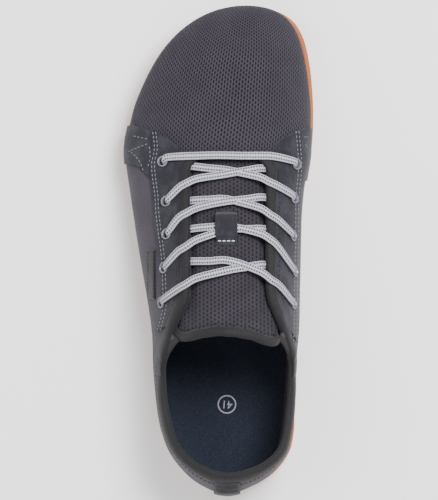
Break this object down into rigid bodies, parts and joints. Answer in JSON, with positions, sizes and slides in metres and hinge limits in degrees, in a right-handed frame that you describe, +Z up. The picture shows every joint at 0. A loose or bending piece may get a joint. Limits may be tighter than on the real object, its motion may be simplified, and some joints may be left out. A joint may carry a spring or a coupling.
{
  "type": "barefoot shoe",
  "caption": "Low barefoot sports shoe for the left foot, with a flat flexible cupsole, mesh and suede upper, flat laces and an open padded collar.",
  "frame": {"origin": "on the floor plane under the middle of the shoe's box", "axes": "+X from the lateral to the medial side, +Y from heel to toe, +Z up from the floor"},
  "size_m": [0.1088, 0.278, 0.0912],
  "materials": {
    "gum": "satin gum rubber",
    "knit": "engineered mesh and smooth side panels",
    "tongue_knit": "ribbed knit",
    "suede": "napped suede",
    "lining": "soft padded lining",
    "insole": "fine diagonal textile",
    "lace": "flat braid",
    "eyelet": "smooth ring",
    "label": "folded woven tag"
  },
  "bodies": {
    "root": {"outsole": "gum", "upper": "knit", "eyestay_lateral": "suede", "eyestay_medial": "suede", "heel_strip": "suede", "collar": "lining", "tongue": "tongue_knit", "tongue_binding": "lining", "lace_keeper": "suede", "insole": "insole", "side_label": "label", "lace_bar_1": "lace", "eyelet_lateral_1": "eyelet", "eyelet_medial_1": "eyelet", "eyelet_lateral_2": "eyelet", "eyelet_medial_2": "eyelet", "eyelet_lateral_3": "eyelet", "eyelet_medial_3": "eyelet", "eyelet_lateral_4": "eyelet", "eyelet_medial_4": "eyelet", "eyelet_lateral_5": "eyelet", "eyelet_medial_5": "eyelet", "lace_cross_1": "lace", "lace_cross_2": "lace", "lace_cross_3": "lace", "lace_cross_4": "lace"}
  },
  "joints": []
}
